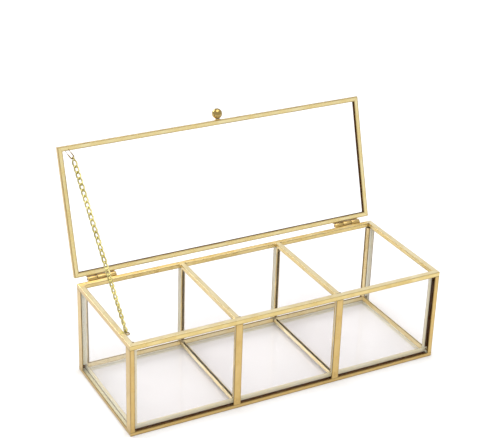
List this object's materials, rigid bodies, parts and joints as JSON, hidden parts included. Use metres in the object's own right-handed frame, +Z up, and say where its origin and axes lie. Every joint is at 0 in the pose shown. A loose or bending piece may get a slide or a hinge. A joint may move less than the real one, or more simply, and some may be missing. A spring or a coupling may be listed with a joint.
{
  "type": "jewelry box",
  "caption": "Long clear-glass jewelry box in a brass strip frame, with cross dividers, a hinged glass lid, a ball knob and a stay chain.",
  "frame": {"origin": "centre of the object's footprint with the lid open, on the surface it stands on", "axes": "+Z up, +X along the box's length to the user's right, -Y towards the user in front of the box"},
  "size_m": [0.226, 0.1202, 0.1581],
  "materials": {
    "frame_brass": "polished folded brass strip with soldered corners",
    "hinge_brass": "satin brass, slightly darker than the frame",
    "knob_brass": "mirror-polished brass ball",
    "chain_gold": "bright gold-plated wire",
    "clear_glass": "clear flat glass with ground edges"
  },
  "bodies": {
    "box": {"bottom_rail_front": "frame_brass", "bottom_rail_rear": "frame_brass", "bottom_rail_left": "frame_brass", "bottom_rail_right": "frame_brass", "corner_post_front_left": "frame_brass", "corner_post_front_right": "frame_brass", "corner_post_rear_left": "frame_brass", "corner_post_rear_right": "frame_brass", "top_rail_front": "frame_brass", "top_rail_rear": "frame_brass", "top_rail_left": "frame_brass", "top_rail_right": "frame_brass", "divider_post_front_left": "frame_brass", "divider_post_front_right": "frame_brass", "divider_post_rear_left": "frame_brass", "divider_post_rear_right": "frame_brass", "divider_cap_left": "frame_brass", "divider_sill_left": "frame_brass", "divider_glass_left": "clear_glass", "divider_cap_right": "frame_brass", "divider_sill_right": "frame_brass", "divider_glass_right": "clear_glass", "glass_floor": "clear_glass", "glass_front_left": "clear_glass", "glass_front_centre": "clear_glass", "glass_front_right": "clear_glass", "glass_rear_left": "clear_glass", "glass_rear_centre": "clear_glass", "glass_rear_right": "clear_glass", "glass_left": "clear_glass", "glass_right": "clear_glass", "hinge_left_box_leaf": "hinge_brass", "hinge_left_pin": "hinge_brass", "hinge_right_box_leaf": "hinge_brass", "hinge_right_pin": "hinge_brass", "box_eye": "hinge_brass", "box_ring": "chain_gold", "stay_chain": "chain_gold"},
    "lid": {"lid_rail_front": "frame_brass", "lid_rail_hinge": "frame_brass", "lid_rail_left": "frame_brass", "lid_rail_right": "frame_brass", "glass_lid": "clear_glass", "knob_collar": "knob_brass", "knob_ball": "knob_brass", "hinge_left_lid_leaf": "hinge_brass", "hinge_right_lid_leaf": "hinge_brass", "lid_eye": "hinge_brass", "lid_ring": "chain_gold"}
  },
  "joints": [
    {"name": "lid_hinge", "type": "hinge", "parent": "box", "child": "lid", "pos_m": [0, 0.02809, 0.06585], "axis": [1, 0, 0], "range_deg": [0, 106.7], "deforming": ["stay_chain"]}
  ]
}
